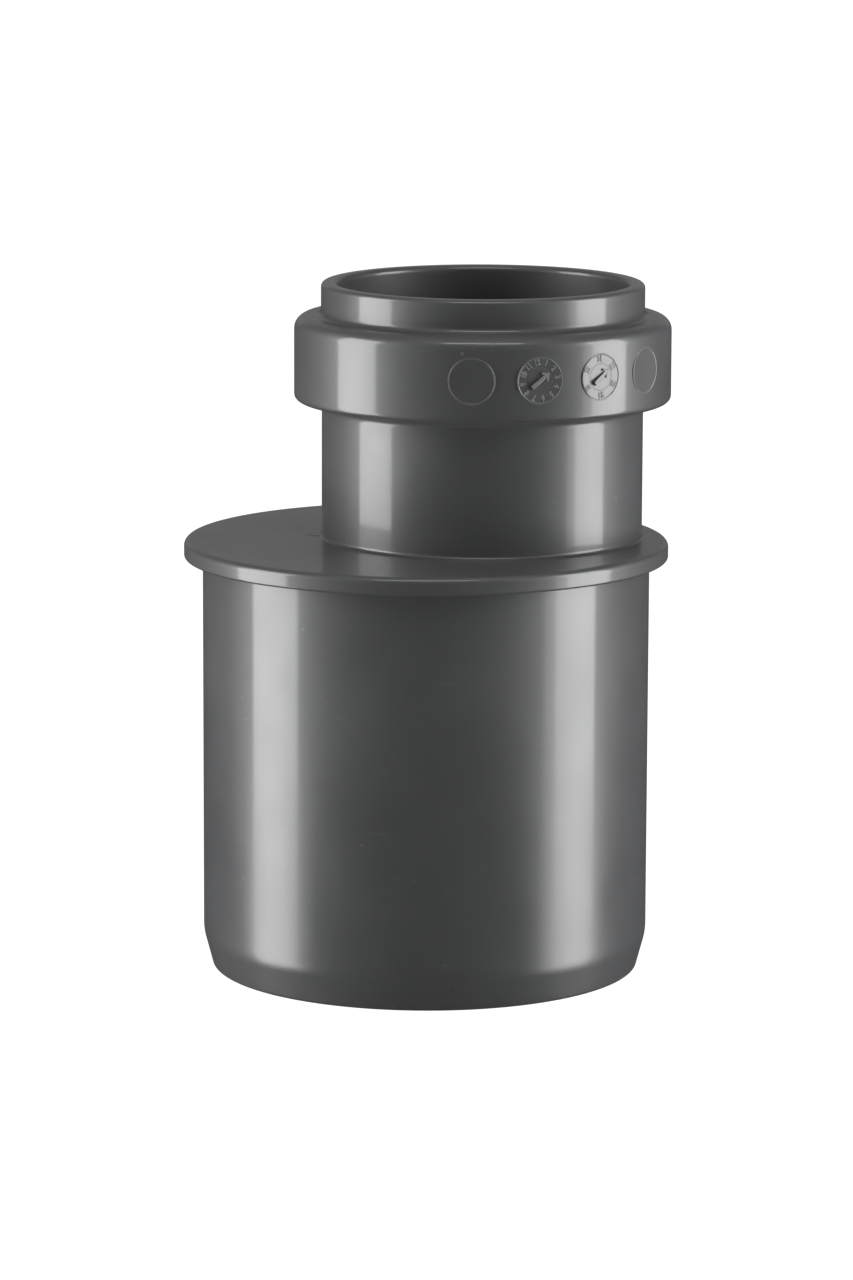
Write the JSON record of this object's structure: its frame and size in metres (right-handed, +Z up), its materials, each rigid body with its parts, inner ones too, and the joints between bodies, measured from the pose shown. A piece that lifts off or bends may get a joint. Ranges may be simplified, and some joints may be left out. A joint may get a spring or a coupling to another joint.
{
  "type": "pipe reducer",
  "caption": "Eccentric push-fit pipe reducer: a wide plain end with a stop plate carries a smaller off-centre socket with a ring seal.",
  "frame": {"origin": "centre of the plain end's rim, on the plane that the part stands on; the bead reaches a little further on +X, so this is the bottom centre of the box to within 0.5 mm", "axes": "+Z up along the pipe axes, from the plain end to the small mouth; +X to the side on which the small socket lies, where both outer walls are in line; the XZ plane is the plane of symmetry, apart from the four insert discs on the -Y side"},
  "size_m": [0.0552, 0.0542, 0.077],
  "materials": {
    "moulded_plastic": "satin dark grey moulded plastic",
    "seal_rubber": "matt black moulded rubber"
  },
  "bodies": {
    "root": {"reducer_body": "moulded_plastic", "seal_ring": "seal_rubber"}
  },
  "joints": []
}
